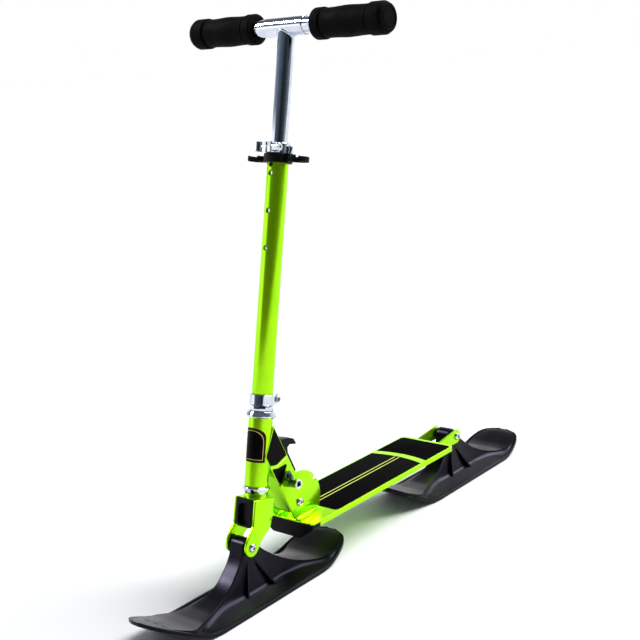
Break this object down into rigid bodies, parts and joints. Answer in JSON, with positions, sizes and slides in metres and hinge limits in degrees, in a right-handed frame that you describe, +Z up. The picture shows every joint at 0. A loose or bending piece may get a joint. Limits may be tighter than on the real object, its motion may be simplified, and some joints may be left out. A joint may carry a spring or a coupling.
{
  "type": "snow scooter",
  "caption": "Folding kick scooter on short pivoting skis, with a flat deck, a locking fold hinge, a height-adjustable chrome T-bar and rubber grips.",
  "frame": {"origin": "centre of the bounding box's foot, on the snow under the deck", "axes": "+Z up; travel is towards -Y; +X is the rider's left"},
  "size_m": [0.366, 0.978, 0.8454],
  "materials": {
    "lime_paint": "glossy candy lime powder coat",
    "dark_lime_paint": "dark green gloss paint",
    "chrome_plate": "polished chrome plate",
    "zinc_steel": "zinc-plated steel",
    "black_steel": "black oxide steel",
    "ski_polyethylene": "satin moulded polyethylene",
    "black_plastic": "satin black nylon",
    "grip_rubber": "moulded black rubber",
    "deck_tape": "grit-faced black tape"
  },
  "bodies": {
    "frame": {"deck": "lime_paint", "deck_grip_front": "deck_tape", "deck_grip_rear": "deck_tape", "front_bumper": "black_plastic", "left_rear_arm": "lime_paint", "right_rear_arm": "lime_paint", "left_hinge_sector": "lime_paint", "right_hinge_sector": "lime_paint", "fold_pivot_bolt": "chrome_plate", "fold_pivot_nut": "zinc_steel", "rear_ski_bolt": "chrome_plate", "rear_ski_nut": "zinc_steel", "left_rear_ski_washer": "black_plastic", "right_rear_ski_washer": "black_plastic"},
    "neck": {"neck_frame": "lime_paint", "fold_pivot_sleeve": "zinc_steel", "lower_headset_cup": "chrome_plate", "upper_headset_cup": "chrome_plate"},
    "lock": {"lock_lever": "black_plastic", "lock_pivot_bolt": "black_steel", "left_lock_link": "dark_lime_paint", "right_lock_link": "dark_lime_paint", "left_lock_sleeve": "dark_lime_paint", "right_lock_sleeve": "dark_lime_paint", "lock_ring_nut": "chrome_plate"},
    "steering": {"fork": "lime_paint", "fork_bump_stop": "black_plastic", "front_ski_bolt": "chrome_plate", "front_ski_nut": "zinc_steel", "left_front_ski_washer": "black_plastic", "right_front_ski_washer": "black_plastic", "headset_locknut": "chrome_plate", "pinch_collar": "chrome_plate", "pinch_bolt": "zinc_steel", "lower_steering_tube": "lime_paint", "stem_bush": "black_plastic", "grip_holder_clip": "black_plastic", "clip_screw": "chrome_plate", "quick_release_collar": "chrome_plate", "quick_release_rod": "zinc_steel", "quick_release_nut": "chrome_plate"},
    "front_ski_body": {"front_ski": "ski_polyethylene", "front_ski_bush": "zinc_steel"},
    "rear_ski_body": {"rear_ski": "ski_polyethylene", "rear_ski_bush": "zinc_steel"},
    "release_lever": {"quick_release_lever": "chrome_plate"},
    "bar": {"t_bar_stem": "chrome_plate"},
    "bar_button": {"height_button": "chrome_plate"},
    "left_handle": {"left_handle_tube": "chrome_plate", "left_grip": "grip_rubber"},
    "left_button": {"left_handle_button": "chrome_plate"},
    "right_handle": {"right_handle_tube": "chrome_plate", "right_grip": "grip_rubber"},
    "right_button": {"right_handle_button": "chrome_plate"}
  },
  "joints": [
    {"name": "fold", "type": "hinge", "parent": "frame", "child": "neck", "pos_m": [0, -0.1626, 0.1139], "axis": [1, 0, 0], "range_deg": [-77.5, 0]},
    {"name": "lock_release", "type": "hinge", "parent": "neck", "child": "lock", "pos_m": [0, -0.18686, 0.16592], "axis": [1, 0, 0], "range_deg": [-20, 0], "stiffness_Nm_per_rad": 0.4, "springref_deg": 11.46},
    {"name": "steer", "type": "hinge", "parent": "neck", "child": "steering", "pos_m": [0, -0.2365, 0.1452], "axis": [0, 0.2164, 0.9763], "range_deg": [-60, 60]},
    {"name": "front_ski_pitch", "type": "hinge", "parent": "steering", "child": "front_ski_body", "pos_m": [0, -0.274, 0.082], "axis": [1, 0, 0], "range_deg": [-20, 10]},
    {"name": "rear_ski_pitch", "type": "hinge", "parent": "frame", "child": "rear_ski_body", "pos_m": [0, 0.282, 0.082], "axis": [1, 0, 0], "range_deg": [-6, 20]},
    {"name": "bar_height", "type": "slide", "parent": "steering", "child": "bar", "axis": [0, 0.2164, 0.9763], "range_m": [-0.12, 0.109]},
    {"name": "release_open", "type": "hinge", "parent": "steering", "child": "release_lever", "pos_m": [-0.0195, -0.14607, 0.65475], "axis": [0, 0.2164, 0.9763], "range_deg": [0, 110]},
    {"name": "bar_button_press", "type": "slide", "parent": "bar", "child": "bar_button", "axis": [0, 0.9763, -0.2164], "range_m": [0, 0.003], "stiffness_N_per_m": 500, "springref_m": -0.003},
    {"name": "left_handle_pull", "type": "slide", "parent": "bar", "child": "left_handle", "axis": [1, 0, 0], "range_m": [0, 0.035]},
    {"name": "left_button_press", "type": "slide", "parent": "left_handle", "child": "left_button", "axis": [0, 0.9763, -0.2164], "range_m": [0, 0.003], "stiffness_N_per_m": 500, "springref_m": -0.003},
    {"name": "right_handle_pull", "type": "slide", "parent": "bar", "child": "right_handle", "axis": [-1, 0, 0], "range_m": [0, 0.035]},
    {"name": "right_button_press", "type": "slide", "parent": "right_handle", "child": "right_button", "axis": [0, 0.9763, -0.2164], "range_m": [0, 0.003], "stiffness_N_per_m": 500, "springref_m": -0.003}
  ]
}
